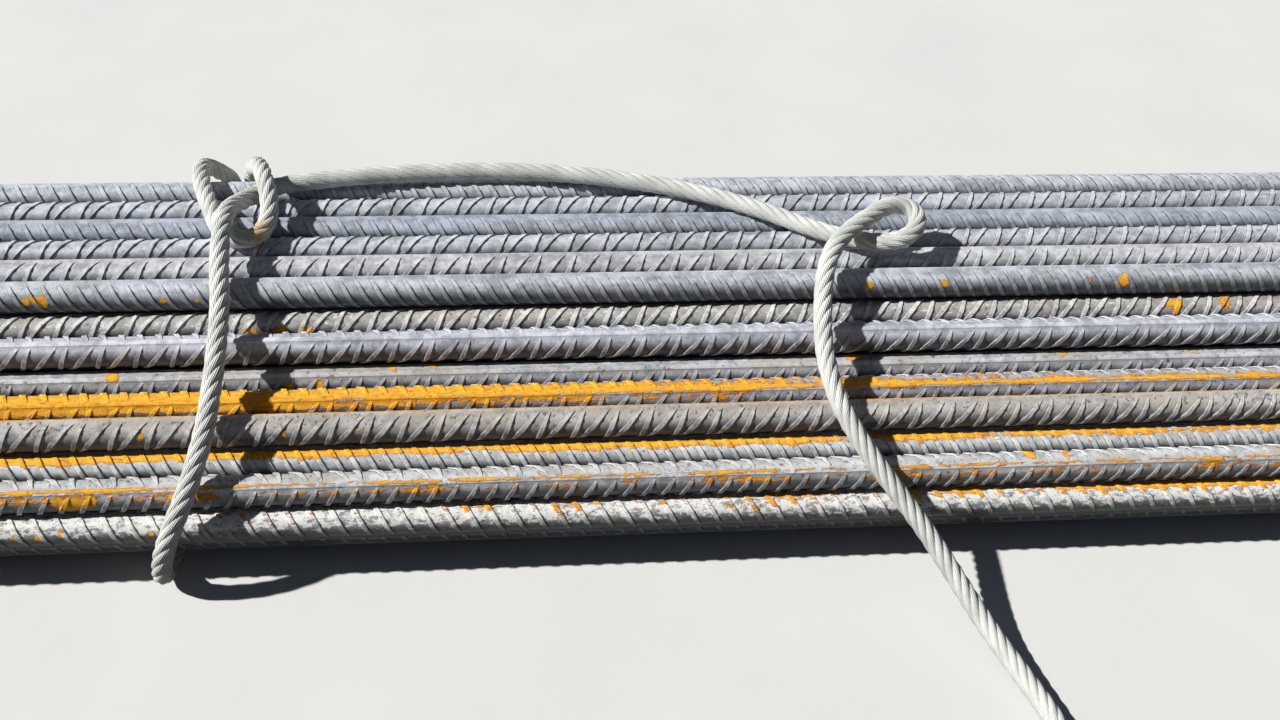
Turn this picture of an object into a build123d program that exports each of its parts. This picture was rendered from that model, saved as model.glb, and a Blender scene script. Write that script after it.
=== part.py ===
"""Bundle of reinforcing bars with a choked wire rope sling, in millimetres.

The bars run along X and the front of the bundle faces -Y. The origin is on the floor,
under the middle of the bundle. The bars lie one layer on another, as round bars do, and
four wire ties hold them. One wire rope sling is choked round the bundle. Its rope passes
under the bars, so that the bars are slightly cambered over it and stand on the outer ties.
"""

import os
import random
from math import asin, degrees, pi, radians, sqrt, tan

from build123d import *

os.makedirs("parts", exist_ok=True)

# Bars
BAR_DIAMETER = 20.0
BAR_LENGTH = 6000.0
BAR_GAP = 0.9  # between neighbouring bars, where their ribs touch
END_STAGGER = 14.0  # how far a bar may stand out of its place lengthwise
# First and last place of each layer's bars, from the lowest layer up, in bar pitches from
# the middle of the bundle. The layers step back at the front, so that most bars show.
LAYERS = [(-5.5, 4.5), (-6, 5), (-5.5, 5.5), (-4, 6), (-1.5, 5.5), (0, 5)]

# Wire ties
TIE_WIRE = 5.5
TIE_SHARES = [-13 / 30, -13 / 60, 13 / 60, 13 / 30]  # of the bars' length, from the middle
TIE_TWIST_LENGTH = 60.0
TIE_TWIST_DIAMETER = 9.0

# Sling
ROPE_DIAMETER = 12.0
FERRULE_DIAMETER = 25.0
FERRULE_LENGTH = 50.0
FERRULE_ROUNDING = 2.0
CLEARANCE = 0.3  # between pieces that rest on each other
BEND_SHARE = 0.45  # part of a run that the arc at its end may take

bar_radius = BAR_DIAMETER / 2
bar_pitch = BAR_DIAMETER + BAR_GAP
layer_rise = bar_pitch * sqrt(3) / 2
rope_radius = ROPE_DIAMETER / 2
wire_radius = TIE_WIRE / 2

# The lowest bars clear the rope in the middle, and the outer ties touch the floor.
middle_underside = ROPE_DIAMETER + CLEARANCE
drop_at_ties = middle_underside - TIE_WIRE - CLEARANCE
tie_places = [share * BAR_LENGTH for share in TIE_SHARES]
tie_reach = max(tie_places)
camber_radius = (tie_reach**2 + drop_at_ties**2) / (2 * drop_at_ties)


def layer_height(layer):
    """Height of the middle of a layer's bars over the floor, at the middle of the bundle."""
    return middle_underside + bar_radius + layer * layer_rise


def places(layer):
    """The bars of one layer, as their places across the bundle."""
    first, last = LAYERS[layer]
    return [(first + i) * bar_pitch for i in range(round(last - first) + 1)]


def drop(x):
    """How much lower the cambered bars lie at x than in the middle."""
    return camber_radius - sqrt(camber_radius**2 - x**2)


def cambered_bar(y, height, shift):
    """One straight bar length, bent to the camber."""
    arc_radius = camber_radius + height - middle_underside
    half_angle = degrees(asin(BAR_LENGTH / 2 / arc_radius))
    turn = degrees(shift / arc_radius)
    across = Plane(origin=(0, y, 0), x_dir=(1, 0, 0), z_dir=(0, -1, 0))
    centre = (0, middle_underside - camber_radius)
    with BuildPart(mode=Mode.PRIVATE) as bar:
        with BuildLine(across) as axis:
            CenterArc(centre, arc_radius, 90 + turn + half_angle, -2 * half_angle)
        with BuildSketch(Plane(origin=axis.line @ 0, z_dir=axis.line % 0)):
            Circle(bar_radius)
        sweep(path=axis.line)
    return bar.part


# Bars, one node for each layer. Their ends are a little uneven, about the middle of the bundle.
draw = random.Random(6)
shifts = [[draw.uniform(-END_STAGGER, END_STAGGER) for _ in places(layer)] for layer in range(len(LAYERS))]
every_shift = sum(shifts, [])
middle_shift = (max(every_shift) + min(every_shift)) / 2
for layer in range(len(LAYERS)):
    bars = []
    for y, shift in zip(places(layer), shifts[layer]):
        bars.append(cambered_bar(y, layer_height(layer), shift - middle_shift))
    layer_part = Compound(label=f"bars_layer_{layer + 1}", children=[bar.solid() for bar in bars])
    export_step(layer_part, f"parts/bars_layer_{layer + 1}.step")
    print(f"bars_layer_{layer + 1}: {len(bars)} bars")


def section_corners():
    """The bars that a band round the bundle touches, as (y, height), in order round it."""
    fronts = [(places(layer)[0], layer_height(layer)) for layer in range(len(LAYERS))]
    backs = [(places(layer)[-1], layer_height(layer)) for layer in range(len(LAYERS))]
    ring = fronts + backs[::-1]

    def inside(i):
        (ay, az), (by, bz), (cy, cz) = ring[i - 1], ring[i], ring[(i + 1) % len(ring)]
        return (by - ay) * (cz - bz) - (bz - az) * (cy - by) > -1e-6

    while any(inside(i) for i in range(len(ring))):
        ring.pop(next(i for i in range(len(ring)) if inside(i)))
    return ring


def band_corner(before, at, after, distance):
    """Where the two straight sides of a band at that distance would meet, outside one bar."""
    side_in = Vector(at[1] - before[1], before[0] - at[0]).normalized()
    side_out = Vector(after[1] - at[1], at[0] - after[0]).normalized()
    corner = Vector(*at) - (side_in + side_out) * (distance / (1 + side_in.dot(side_out)))
    return corner.X, corner.Y


# Wire ties: each one drawn tight round the bars, its two ends twisted together on top
corners = section_corners()
tie_offset = bar_radius + CLEARANCE + wire_radius
top_layer = len(LAYERS) - 1
top_row = places(top_layer)
top_bar = top_row[(len(top_row) - 1) // 2]
top_of_bars = layer_height(top_layer) + bar_radius
wire_height = top_of_bars + CLEARANCE + wire_radius
twist_height = top_of_bars + CLEARANCE + TIE_TWIST_DIAMETER / 2
band = []
for i in range(len(corners)):
    band.append(band_corner(corners[i - 1], corners[i], corners[(i + 1) % len(corners)], tie_offset))
split = max(range(len(corners)), key=lambda i: (round(corners[i][1], 3), corners[i][0]))
band = band[split:] + band[:split]
for number, x in enumerate(tie_places, start=1):
    across = Plane(origin=(x, 0, -drop(x)), x_dir=(0, 1, 0), z_dir=(1, 0, 0))
    with BuildPart() as wire_tie:
        with BuildLine(across) as loop:
            FilletPolyline(
                (top_bar + wire_radius, wire_height),
                *band,
                (top_bar - wire_radius, wire_height),
                radius=tie_offset,
            )
        with BuildSketch(Plane(origin=loop.line @ 0, z_dir=loop.line % 0)):
            Circle(wire_radius)
        sweep(path=loop.line)
        twist_start = (x - TIE_TWIST_DIAMETER / 2, top_bar, twist_height - drop(x))
        with BuildSketch(Plane(origin=twist_start, z_dir=(1, 0, 0))):
            Circle(TIE_TWIST_DIAMETER / 2)
        extrude(amount=TIE_TWIST_LENGTH)
    wire_tie.part.label = f"wire_tie_{number}"
    export_step(wire_tie.part, f"parts/wire_tie_{number}.step")
    print(f"wire_tie_{number}: solids {len(wire_tie.solids())}, volume {wire_tie.part.volume:.0f}")


# Ferrules: pressed sleeves that close the sling's two soft eyes
ferrule_radius = FERRULE_DIAMETER / 2
choke_ferrule_end = Vector(-276, 151, 34)
end_ferrule_end = Vector(-30, -345, ferrule_radius)


def ferrule(end, direction):
    """A pressed sleeve whose rope comes in at end, along direction."""
    with BuildPart() as sleeve:
        with BuildSketch(Plane(origin=end, z_dir=direction)):
            Circle(ferrule_radius)
        extrude(amount=FERRULE_LENGTH)
        fillet(sleeve.edges().filter_by(GeomType.CIRCLE), FERRULE_ROUNDING)
    return sleeve.part


choke_ferrule = ferrule(choke_ferrule_end, (0, 0, 1))
choke_ferrule.label = "choke_ferrule"
export_step(choke_ferrule, "parts/choke_ferrule.step")

end_ferrule = ferrule(end_ferrule_end, (-1, 0, 0))
end_ferrule.label = "end_ferrule"
export_step(end_ferrule, "parts/end_ferrule.step")


def rope(name, route):
    """A length of rope along straight runs joined by arcs, as large as the runs allow."""
    points = [Vector(*p) for p in route]
    runs = [b - a for a, b in zip(points, points[1:])]
    radii = []
    for before, after in zip(runs, runs[1:]):
        half_turn = radians(before.get_angle(after)) / 2
        radii.append(BEND_SHARE * min(before.length, after.length) / tan(half_turn))
    with BuildPart() as piece:
        with BuildLine() as line:
            FilletPolyline(*points, radius=radii)
        with BuildSketch(Plane(origin=line.line @ 0, z_dir=line.line % 0)):
            Circle(rope_radius)
        sweep(path=line.line)
    piece.part.label = name
    export_step(piece.part, f"parts/{name}.step")
    length = sum(edge.length for edge in line.line.edges())
    section = pi * rope_radius**2
    print(f"{name}: length {length:.0f}, smallest radius {min(radii):.1f}, all {[round(r) for r in radii]}")
    print(f"  volume {piece.part.volume:.0f}, section times length {section * length:.0f}")
    return length


# The sling's rope: from the choke ferrule under the bars, up the front, over the choke eye and
# through it, along the top, round a small kink, down the front and out to the end ferrule
SLING_ROUTE = [
    (-276, 151, 34),
    (-276, 151, 20),
    (-277, 144, 9),
    (-278.5, 128, 6),
    (-281, 70, 6),
    (-283, 10, 6),
    (-287, -50, 6),
    (-290, -105, 6),
    (-292, -128, 6),
    (-291, -144, 16),
    (-286, -146, 38),
    (-278, -141, 56),
    (-267, -124, 76),
    (-260, -97, 92),
    (-258, -62, 107),
    (-258, -25, 122),
    (-261, 2, 135),
    (-262, 26, 144),
    (-262, 48, 143),
    (-259, 66, 135),
    (-252, 82, 130),
    (-240, 92, 129.6),
    (-215, 98, 129.6),
    (-180, 103, 130),
    (-140, 106.5, 129.8),
    (-95, 107.5, 130),
    (-48, 104, 129.8),
    (5, 93, 130),
    (55, 75, 129.8),
    (88, 56, 130),
    (112, 39, 129.8),
    (132, 26, 131),
    (149, 17, 133.5),
    (163, 12, 137),
    (176, 15, 142),
    (181, 26, 146),
    (175, 36, 149),
    (162, 35, 150),
    (147, 24, 149),
    (133, 14, 146.5),
    (122, 5, 142),
    (114, -10, 134),
    (109, -34, 122),
    (107, -62, 108),
    (112, -90, 95),
    (125, -114, 81),
    (143, -134, 64),
    (161, -152, 46),
    (178, -176, 28),
    (193, -203, 14),
    (208, -233, 7),
    (219, -265, 6),
    (219, -298, 6.2),
    (201, -326, 6.4),
    (170, -341, 7),
    (125, -346, 8.5),
    (78, -345, 10.5),
    (30, -345, 12.5),
    (-30, -345, 12.5),
]
sling_length = rope("sling_rope", SLING_ROUTE)

# The choke eye: two legs from the ferrule over the back edge, and a bight on top of the bars
# that the rope passes through
CHOKE_EYE_ROUTE = [
    (-282.5, 151, 84),
    (-282.5, 151, 94),
    (-289, 141, 109.5),
    (-294, 124, 126),
    (-291, 103, 129.8),
    (-284, 82, 129.6),
    (-276, 62, 129.6),
    (-269, 44, 129.8),
    (-258, 33, 129.6),
    (-245, 34, 130),
    (-238, 46, 132),
    (-238, 61, 138),
    (-242, 76, 143),
    (-248, 95, 142.5),
    (-255, 113, 133),
    (-262, 130, 119),
    (-266, 142, 107),
    (-269.5, 151, 94),
    (-269.5, 151, 84),
]
choke_eye_length = rope("sling_choke_eye", CHOKE_EYE_ROUTE)

# The end eye lies flat on the floor
END_EYE_ROUTE = [
    (-80, -338.5, 11),
    (-98, -338.5, 11),
    (-126, -327, 7.5),
    (-158, -309, 6),
    (-196, -297, 6.2),
    (-232, -300, 6),
    (-257, -320, 6.2),
    (-263, -347, 6),
    (-252, -373, 6.2),
    (-225, -390, 6),
    (-190, -391, 6.2),
    (-156, -379, 6),
    (-126, -363, 7.5),
    (-98, -351.5, 11),
    (-80, -351.5, 11),
]
end_eye_length = rope("sling_end_eye", END_EYE_ROUTE)

print(f"camber radius {camber_radius:.0f}, drop at the bars' ends {drop(BAR_LENGTH / 2):.2f}")
print(f"height of the bars {top_of_bars:.1f}, of the ties {wire_height + wire_radius:.1f}")
print(f"sling: eye to eye about {sling_length + (choke_eye_length + end_eye_length) / 2:.0f}")
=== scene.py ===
# %% [markdown]
# # A bundle of reinforcing bars with a choked sling
#
# Sixty ribbed bars, each 6 m long, lie in six layers. Four wire ties hold them, and a wire
# rope sling is choked round them. The CAD frame gives every bar, tie and ferrule its place.
# This lesson dresses them: the bars get their ribs, the rope gets its strands, and every
# piece gets the finish of steel that has lain in the open for some weeks.
#
# New pieces are surfaces worked out with numpy, all points of a piece at once. All sizes are
# in metres, X runs along the bars, and the front of the bundle faces -Y.

import math
import random

import bpy
import numpy as np
from mathutils import Matrix, Vector


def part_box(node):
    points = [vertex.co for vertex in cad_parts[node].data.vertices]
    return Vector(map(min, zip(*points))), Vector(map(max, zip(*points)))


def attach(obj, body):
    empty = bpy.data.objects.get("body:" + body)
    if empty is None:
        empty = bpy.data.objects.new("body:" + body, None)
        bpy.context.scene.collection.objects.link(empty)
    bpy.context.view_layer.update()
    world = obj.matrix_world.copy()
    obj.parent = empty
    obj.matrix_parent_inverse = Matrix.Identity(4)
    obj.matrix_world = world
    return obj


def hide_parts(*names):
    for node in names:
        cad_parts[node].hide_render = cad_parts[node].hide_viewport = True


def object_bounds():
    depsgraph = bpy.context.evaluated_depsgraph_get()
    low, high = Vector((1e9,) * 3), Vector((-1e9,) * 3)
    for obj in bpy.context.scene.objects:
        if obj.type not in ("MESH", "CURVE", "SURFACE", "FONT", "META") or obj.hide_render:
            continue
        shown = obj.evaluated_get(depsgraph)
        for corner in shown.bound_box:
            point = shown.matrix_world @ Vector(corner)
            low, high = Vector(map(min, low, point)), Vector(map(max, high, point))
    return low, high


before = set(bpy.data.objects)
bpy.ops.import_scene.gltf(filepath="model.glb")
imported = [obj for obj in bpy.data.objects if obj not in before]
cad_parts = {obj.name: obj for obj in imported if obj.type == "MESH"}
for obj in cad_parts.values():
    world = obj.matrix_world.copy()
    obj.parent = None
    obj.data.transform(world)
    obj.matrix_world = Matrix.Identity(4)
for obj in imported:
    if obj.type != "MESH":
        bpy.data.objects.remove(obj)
cad_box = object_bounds()
cad_corners = [round(v, 3) for corner in cad_box for v in corner]
print("frame:", len(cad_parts), "nodes, box", cad_corners)

# %% [markdown]
# ## The camera
#
# The photograph looks down on the front of the bundle at about 43 degrees, from close by,
# a little turned and a little tilted. A camera can be placed by eye, but here the rows of
# bars give enough straight lines to work it out. The camera is built from three directions:
# where it looks, what is to its right, and what is up in the picture. The tilt then turns
# the last two about the first.

# %% Camera
CAMERA_PLACE = Vector((-0.0706, -0.6087, 0.6145))
CAMERA_YAW = math.radians(6.70)
CAMERA_DIP = math.radians(42.69)
CAMERA_ROLL = math.radians(3.31)
CAMERA_LENS = 34.73
CAMERA_SENSOR = 36.0


def camera_axes(yaw, dip, roll):
    """The picture's right, its up, and the way the camera looks: the look direction from the
    two angles, the level direction to its right, their cross product, and both turned by roll."""
    look = Vector((math.sin(yaw) * math.cos(dip), math.cos(yaw) * math.cos(dip), -math.sin(dip)))
    level = Vector((math.cos(yaw), -math.sin(yaw), 0.0))
    upward = level.cross(look)
    right = math.cos(roll) * level + math.sin(roll) * upward
    up = math.cos(roll) * upward - math.sin(roll) * level
    return right, up, look


camera_data = bpy.data.cameras.new("camera")
camera_data.lens = CAMERA_LENS
camera_data.sensor_width = CAMERA_SENSOR
camera_data.clip_start = 0.01
camera = bpy.data.objects.new("camera", camera_data)
right, up, look = camera_axes(CAMERA_YAW, CAMERA_DIP, CAMERA_ROLL)
camera_turn = Matrix((right, up, -look)).transposed().to_4x4()
camera.matrix_world = Matrix.Translation(CAMERA_PLACE) @ camera_turn
bpy.context.scene.collection.objects.link(camera)
bpy.context.scene.camera = camera
print("camera at", [round(v, 3) for v in CAMERA_PLACE])

# %% [markdown]
# ## Closed tubes, many at once
#
# Bars, ribs, strands and tie wires are all closed tubes: rings of points along a line, and
# one point in the middle of each end. One helper turns an array of rings into points and
# faces for any number of tubes, so that thousands of ribs cost one call. The ring's points
# run so that stepping along the tube and then round it faces outwards.

# %% Tubes and pieces


def closed_tubes(rings):
    """Points, quads and triangles of many closed tubes.
    rings has one row for each tube, ring and point round it. The middle of the first ring and
    of the last are added as end points, and a fan of triangles closes each end round them."""
    tubes, count, around, _ = rings.shape
    ends = rings[:, [0, -1]].mean(axis=2)
    points = np.concatenate([rings.reshape(tubes, count * around, 3), ends], axis=1)
    size = count * around + 2
    base = np.arange(tubes)[:, None, None] * size
    ring = np.arange(count - 1)[None, :, None] * around
    turn = np.arange(around)[None, None, :]
    after = (turn + 1) % around
    here = base + ring
    quads = np.stack([here + turn, here + around + turn, here + around + after, here + after], -1)
    first = base[:, 0] + size - 2
    last = base[:, 0, :] + size - 1
    low = base[:, 0] + turn[0]
    low_after = base[:, 0] + after[0]
    top = (count - 1) * around
    start_fan = np.stack(np.broadcast_arrays(first, low, low_after), -1)
    end_fan = np.stack(np.broadcast_arrays(last, low_after + top, low + top), -1)
    triangles = np.concatenate([start_fan.reshape(-1, 3), end_fan.reshape(-1, 3)])
    return points.reshape(-1, 3), quads.reshape(-1, 4), triangles


def with_ends(values):
    """A value for each ring point, and the first and the last again for the two end points."""
    tubes = values.shape[0]
    flat = values.reshape(tubes, -1)
    return np.concatenate([flat, flat[:, :1], flat[:, -1:]], axis=1).reshape(-1)


def piece(name, parts, material, sharp=40.0):
    """One mesh object from several sets of (points, quads, triangles, attributes), smooth but
    for the edges that turn more than the angle sharp. It rides on the bundle's only body."""
    points, faces, offset = [], [], 0
    for part_points, quads, triangles, _ in parts:
        points.append(part_points)
        faces += (quads + offset).tolist() + (triangles + offset).tolist()
        offset += len(part_points)
    mesh = bpy.data.meshes.new(name)
    mesh.from_pydata(np.concatenate(points).tolist(), [], faces)
    for label in parts[0][3]:
        values = np.concatenate([part[3][label] for part in parts]).astype(np.float32)
        layer = mesh.attributes.new(label, "FLOAT_COLOR", "POINT")
        layer.data.foreach_set("color", values.ravel())
    mesh.polygons.foreach_set("use_smooth", np.ones(len(mesh.polygons), dtype=bool))
    mesh.set_sharp_from_angle(angle=math.radians(sharp))
    mesh.materials.append(material)
    made = bpy.data.objects.new(name, mesh)
    bpy.context.scene.collection.objects.link(made)
    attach(made, "root")
    return made


def triangle_count(made):
    """How many triangles a piece has: each face gives its corners less two."""
    return len(made.data.loops) - 2 * len(made.data.polygons)


# %% [markdown]
# ## Material helpers
#
# A material is a small graph. Writing one with a helper that adds a node and wires its
# sockets in one line keeps the graph readable: a socket that is given another node's output
# is linked, and anything else is set as a value.

# %% Node helpers


def fill(tree, node, sockets):
    """Fills a node's named sockets: an output of another node is linked, a value is set."""
    for key, value in sockets.items():
        if isinstance(value, bpy.types.NodeSocket):
            tree.links.new(value, node.inputs[key])
        else:
            node.inputs[key].default_value = value


def add_node(tree, kind, sockets, out=0, **settings):
    """Adds a shader node, sets its settings, fills its sockets, and returns one output."""
    made = tree.nodes.new("ShaderNode" + kind)
    for key, value in settings.items():
        setattr(made, key, value)
    fill(tree, made, sockets)
    return made.outputs[out]


def math_node(tree, operation, *values, clamp=False):
    """A Math node over one, two or three values or sockets."""
    sockets = dict(enumerate(values))
    return add_node(tree, "Math", sockets, operation=operation, use_clamp=clamp)


def times(tree, value, factor):
    """A value times a factor."""
    return math_node(tree, "MULTIPLY", value, factor)


def times_plus(tree, value, factor, added):
    """A value times a factor, plus another value."""
    return math_node(tree, "MULTIPLY_ADD", value, factor, added)


def mix_colour(tree, factor, first, second, blend="MIX"):
    """A Mix node for colours."""
    sockets = {"Factor": factor, 6: first, 7: second}
    return add_node(tree, "Mix", sockets, out=2, data_type="RGBA", blend_type=blend)


def step_between(tree, value, low, high):
    """A smooth step: 0 up to low, 1 from high."""
    sockets = {"Value": value, "From Min": low, "From Max": high}
    return add_node(tree, "MapRange", sockets, interpolation_type="SMOOTHSTEP")


def scaled_coordinates(tree, scale=(1, 1, 1)):
    """Object coordinates stretched by a scale along each axis."""
    place = tree.nodes.new("ShaderNodeTexCoord").outputs["Object"]
    return add_node(tree, "Mapping", {"Vector": place, "Scale": scale})


def noise(tree, place, scale, detail, roughness=0.5):
    """Noise over a place. Each level of detail is twice as fine, and weaker by the roughness."""
    sockets = {"Vector": place, "Scale": scale, "Detail": detail, "Roughness": roughness}
    return add_node(tree, "TexNoise", sockets)


def new_material(name):
    """A material whose graph holds only a Principled BSDF, joined to its output."""
    made = bpy.data.materials.new(name)
    made.use_nodes = True
    tree = made.node_tree
    tree.nodes.clear()
    shader = tree.nodes.new("ShaderNodeBsdfPrincipled")
    output = tree.nodes.new("ShaderNodeOutputMaterial")
    tree.links.new(shader.outputs["BSDF"], output.inputs["Surface"])
    return made, tree, shader


# %% [markdown]
# ## Two effects that several finishes share
#
# Rust shows on the bars and on the tie wires. It starts where water stays, and it has a
# ragged edge, so its mask is a coverage, given by the piece, that fine noise eats into. Its
# colour runs from yellow where it is young to deep orange where it is old. Its rim is a
# brownish orange, and brown grains lie in it.
#
# Speckle is the salt-and-pepper look of scale that is chipped, of scuffed zinc and of dust:
# noise with a hard step, used for light chips and for dark pits.

# %% Shared effects


def effect_group(name, inputs, outputs):
    """An empty shader node group. An input is (name, kind, value), an output (name, kind)."""
    group = bpy.data.node_groups.new(name, "ShaderNodeTree")
    new_socket = group.interface.new_socket
    for label, kind, value in inputs:
        socket = new_socket(label, in_out="INPUT", socket_type="NodeSocket" + kind)
        if value is not None:
            socket.default_value = value
    for label, kind in outputs:
        new_socket(label, in_out="OUTPUT", socket_type="NodeSocket" + kind)
    return group, group.nodes.new("NodeGroupInput"), group.nodes.new("NodeGroupOutput")


RUST_YELLOW = (0.90, 0.50, 0.045, 1.0)
RUST_ORANGE = (0.62, 0.17, 0.012, 1.0)
RUST_BROWN = (0.17, 0.060, 0.020, 1.0)

rust_effect, rust_in, rust_out = effect_group(
    "rust_coat",
    [("Vector", "Vector", None), ("Coverage", "Float", 0.5), ("Age", "Float", 0.3)],
    [("Mask", "Float"), ("Color", "Color")],
)
place, coverage, age = (rust_in.outputs[label] for label in ("Vector", "Coverage", "Age"))
patches = noise(rust_effect, place, 1.0, 6.0)
crumbs = noise(rust_effect, place, 5.0, 4.0)
raggedness = times_plus(rust_effect, crumbs, 1.1, times(rust_effect, patches, 1.2))
edge = math_node(rust_effect, "SUBTRACT", raggedness, 1.15)
covered = math_node(rust_effect, "ADD", coverage, edge)
age_base = math_node(rust_effect, "SUBTRACT", age, 0.8)
age_noise = times_plus(rust_effect, crumbs, 1.6, age_base)
age_share = math_node(rust_effect, "MAXIMUM", age_noise, 0.0, clamp=True)
aged = mix_colour(rust_effect, age_share, RUST_YELLOW, RUST_ORANGE)
rim = mix_colour(rust_effect, 0.35, RUST_ORANGE, RUST_BROWN)
inside = step_between(rust_effect, covered, 0.46, 0.70)
rust_colour = mix_colour(rust_effect, inside, rim, aged)
rust_grain = noise(rust_effect, place, 3.4, 6.0, 0.75)
rust_dark = times(rust_effect, step_between(rust_effect, rust_grain, 0.53, 0.66), 0.6)
rust_speckled = mix_colour(rust_effect, rust_dark, rust_colour, RUST_BROWN)
rust_mask = step_between(rust_effect, covered, 0.42, 0.56)
fill(rust_effect, rust_out, {"Mask": rust_mask, "Color": rust_speckled})

speckle_effect, speckle_in, speckle_out = effect_group(
    "speckle",
    [("Vector", "Vector", None), ("Scale", "Float", 900.0), ("Amount", "Float", 0.4)],
    [("Mask", "Float")],
)
place, scale, amount = (speckle_in.outputs[label] for label in ("Vector", "Scale", "Amount"))
grains = noise(speckle_effect, place, scale, 3.0, 0.7)
raised = math_node(speckle_effect, "SUBTRACT", amount, 0.5)
speckle_level = math_node(speckle_effect, "ADD", grains, raised)
speckle_mask = step_between(speckle_effect, speckle_level, 0.5, 0.62)
fill(speckle_effect, speckle_out, {"Mask": speckle_mask})


def use_effect(tree, group, sockets):
    """Places an effect group in a material, and returns its outputs."""
    made = tree.nodes.new("ShaderNodeGroup")
    made.node_tree = group
    fill(tree, made, sockets)
    return tuple(made.outputs)


def speckles(tree, place, scale, amount):
    """The speckle effect's mask over a place."""
    sockets = {"Vector": place, "Scale": scale, "Amount": amount}
    return use_effect(tree, speckle_effect, sockets)[0]


print("effects:", rust_effect.name, "and", speckle_effect.name)

# %% [markdown]
# ## The sling's rope
#
# The sling is one wire rope, 12 mm thick, with a soft eye pressed into each end. It comes out
# of the choke ferrule behind the bundle, passes under the bars and up the front, goes over
# and through the choke eye, runs along the top, makes a small kink, falls down the front and
# ends on the floor in its second ferrule and eye.
#
# A rope's line is smooth, so its route is the control polygon of a NURBS spline of order 3,
# not a chain of runs and arcs. The order is set after the points, because Blender drops it
# back to 2 while the spline is short. The spline has no bevel: its points are read back and
# carry the strands.

# %% Rope routes
ROPE_DIAMETER = 0.012
MILLIMETRE = 0.001

SLING_ROUTE = [
    (-276, 151, 34), (-276, 151, 20), (-277, 144, 9), (-278.5, 128, 6), (-281, 70, 6),
    (-283, 10, 6), (-287, -50, 6), (-290, -105, 6), (-292, -128, 6), (-291, -144, 16),
    (-286, -146, 38), (-278, -141, 56), (-267, -124, 76), (-260, -97, 92), (-258, -62, 107),
    (-258, -25, 122), (-261, 2, 135), (-262, 26, 144), (-262, 48, 143), (-259, 66, 135),
    (-252, 82, 130), (-240, 92, 129.6), (-215, 98, 129.6), (-180, 103, 130), (-140, 106.5, 129.8),
    (-95, 107.5, 130), (-48, 104, 129.8), (5, 93, 130), (55, 75, 129.8), (88, 56, 130),
    (112, 39, 129.8), (132, 26, 131), (149, 17, 133.5), (163, 12, 137), (176, 15, 142),
    (181, 26, 146), (175, 36, 149), (162, 35, 150), (147, 24, 149), (133, 14, 146.5),
    (122, 5, 142), (114, -10, 134), (109, -34, 122), (107, -62, 108), (112, -90, 95),
    (125, -114, 81), (143, -134, 64), (161, -152, 46), (178, -176, 28), (193, -203, 14),
    (208, -233, 7), (219, -265, 6), (219, -298, 6.2), (201, -326, 6.4), (170, -341, 7),
    (125, -346, 8.5), (78, -345, 10.5), (30, -345, 12.5), (-30, -345, 12.5),
]
CHOKE_EYE_ROUTE = [
    (-282.5, 151, 84), (-282.5, 151, 94), (-289, 141, 109.5), (-294, 124, 126), (-291, 103, 129.8),
    (-284, 82, 129.6), (-276, 62, 129.6), (-269, 44, 129.8), (-258, 33, 129.6), (-245, 34, 130),
    (-238, 46, 132), (-238, 61, 138), (-242, 76, 143), (-248, 95, 142.5), (-255, 113, 133),
    (-262, 130, 119), (-266, 142, 107), (-269.5, 151, 94), (-269.5, 151, 84),
]
END_EYE_ROUTE = [
    (-80, -338.5, 11), (-98, -338.5, 11), (-126, -327, 7.5), (-158, -309, 6), (-196, -297, 6.2),
    (-232, -300, 6), (-257, -320, 6.2), (-263, -347, 6), (-252, -373, 6.2), (-225, -390, 6),
    (-190, -391, 6.2), (-156, -379, 6), (-126, -363, 7.5), (-98, -351.5, 11), (-80, -351.5, 11),
]


def rope_line(name, route):
    """The points along the route's NURBS spline, read from a curve with no bevel."""
    curve = bpy.data.curves.new(name + "_line", "CURVE")
    curve.dimensions = "3D"
    curve.resolution_u = 12
    spline = curve.splines.new("NURBS")
    spline.points.add(len(route) - 1)
    control = np.ones((len(route), 4))
    control[:, :3] = np.array(route) * MILLIMETRE
    spline.points.foreach_set("co", control.ravel())
    spline.order_u = 3
    spline.use_endpoint_u = True
    holder = bpy.data.objects.new(name + "_line", curve)
    bpy.context.scene.collection.objects.link(holder)
    bpy.context.view_layer.update()
    graph = bpy.context.evaluated_depsgraph_get()
    line = bpy.data.meshes.new_from_object(holder.evaluated_get(graph))
    points = np.empty(len(line.vertices) * 3)
    line.vertices.foreach_get("co", points)
    bpy.data.objects.remove(holder)
    bpy.data.curves.remove(curve)
    bpy.data.meshes.remove(line)
    return points.reshape(-1, 3)


def line_lengths(points):
    """How far along the line each point lies: the running sum of the steps between them."""
    steps = np.linalg.norm(np.diff(points, axis=0), axis=1)
    return np.concatenate([[0.0], np.cumsum(steps)])


def even_steps(points, spacing):
    """The same line with its points evenly spaced, by linear interpolation over its length."""
    along = line_lengths(points)
    count = int(round(along[-1] / spacing))
    at = np.linspace(0.0, along[-1], count + 1)
    return np.stack([np.interp(at, along, points[:, axis]) for axis in range(3)], axis=1), at


ROUTES = {
    "sling_rope": SLING_ROUTE,
    "sling_choke_eye": CHOKE_EYE_ROUTE,
    "sling_end_eye": END_EYE_ROUTE,
}
rope_lines = {name: rope_line(name, route) for name, route in ROUTES.items()}
for name, points in rope_lines.items():
    print(f"{name}: {line_lengths(points)[-1]:.3f} m along its line")

# %% [markdown]
# ## Strands
#
# Six strands are laid round a core, to the right, so on a rope that stands upright they rise
# to the right. Each strand is a helix round the rope's line. The helix needs a direction
# that stays square to the line without spinning round it, and such a frame is carried from
# point to point: at each step it is turned just as much as the line turns.
#
# The wires in a strand are too fine to model. They are laid the other way, so that they lie
# along the rope, and the material draws them from the strand's own UV map.

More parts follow.
